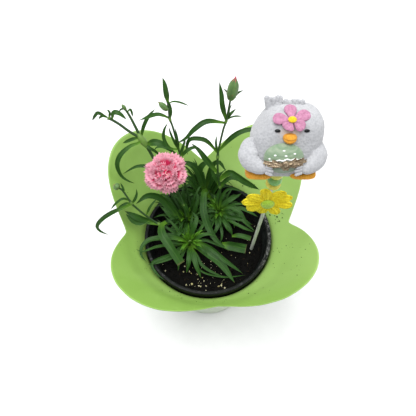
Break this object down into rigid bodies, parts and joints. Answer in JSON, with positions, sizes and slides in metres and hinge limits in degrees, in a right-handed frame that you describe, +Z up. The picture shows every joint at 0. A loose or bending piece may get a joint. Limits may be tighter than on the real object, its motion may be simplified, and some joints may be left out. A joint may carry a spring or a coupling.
{
  "type": "potted dianthus plant",
  "caption": "Pink dianthus in a nursery pot inside a flared green four-lobed sleeve, with a plush chick and felt flower on a stick.",
  "frame": {"origin": "centre of the sleeve's flat underside, on the floor under the pot's axis", "axes": "+Z up, +X to the viewer's right, -Y towards the viewer of the picture"},
  "size_m": [0.1968, 0.1853, 0.2784],
  "materials": {
    "sleeve": "satin green inside, whitish outside",
    "pot": "dark grey moulded plastic with a scuffed rim",
    "soil": "dark moist potting mix with pale grains",
    "leaf": "blue-green, faintly waxy",
    "rosette_leaf": "green, younger leaves paler",
    "stem": "green with paler nodes",
    "bud": "grey-green calyx",
    "petal": "soft pink with a deeper heart",
    "plush_white": "short white plush",
    "felt_orange": "orange felt",
    "felt_yellow": "yellow felt",
    "felt_pink": "pink felt",
    "felt_flower_middle": "golden felt",
    "button_green": "lime green felt",
    "bead_yellow": "pale yellow bead",
    "bead_green": "green bead",
    "egg": "soft green fabric with white dots",
    "bow": "gold-brown glitter ribbon",
    "eye": "gloss",
    "stick": "whitish stick"
  },
  "bodies": {
    "root": {"beak": "felt_orange", "bow": "bow", "bud_a": "bud", "bud_b": "bud", "bud_c": "bud", "bud_d": "bud", "calyx": "bud", "chick_body": "plush_white", "crest_left": "plush_white", "crest_right": "plush_white", "egg": "egg", "eye_left": "eye", "eye_right": "eye", "felt_flower": "felt_yellow", "felt_flower_button": "button_green", "foot_left": "felt_orange", "foot_right": "felt_orange", "green_bead": "bead_green", "head_flower": "felt_pink", "head_flower_middle": "felt_flower_middle", "leaf_a_curl": "leaf", "leaf_a_right": "leaf", "leaf_a_tip_left": "leaf", "leaf_a_tip_right": "leaf", "leaf_a_up": "leaf", "leaf_b_left": "leaf", "leaf_b_tip": "leaf", "leaf_c_arch": "leaf", "leaf_c_behind": "leaf", "leaf_c_left": "leaf", "leaf_c_low": "leaf", "leaf_c_right": "leaf", "leaf_c_up": "leaf", "leaf_d_arch": "leaf", "leaf_d_upper": "leaf", "leaf_flower_left": "leaf", "petals_inner": "petal", "petals_middle": "petal", "petals_outer": "petal", "pot": "pot", "ring_bead": "bead_yellow", "rosette_back": "rosette_leaf", "rosette_front": "rosette_leaf", "rosette_middle": "rosette_leaf", "rosette_right": "rosette_leaf", "sleeve": "sleeve", "soil": "soil", "stem_a": "stem", "stem_a_side": "stem", "stem_b": "stem", "stem_c": "stem", "stem_d": "stem", "stem_flower": "stem", "stick": "stick", "wing_left": "plush_white", "wing_right": "plush_white", "yellow_bead": "bead_yellow"}
  },
  "joints": []
}
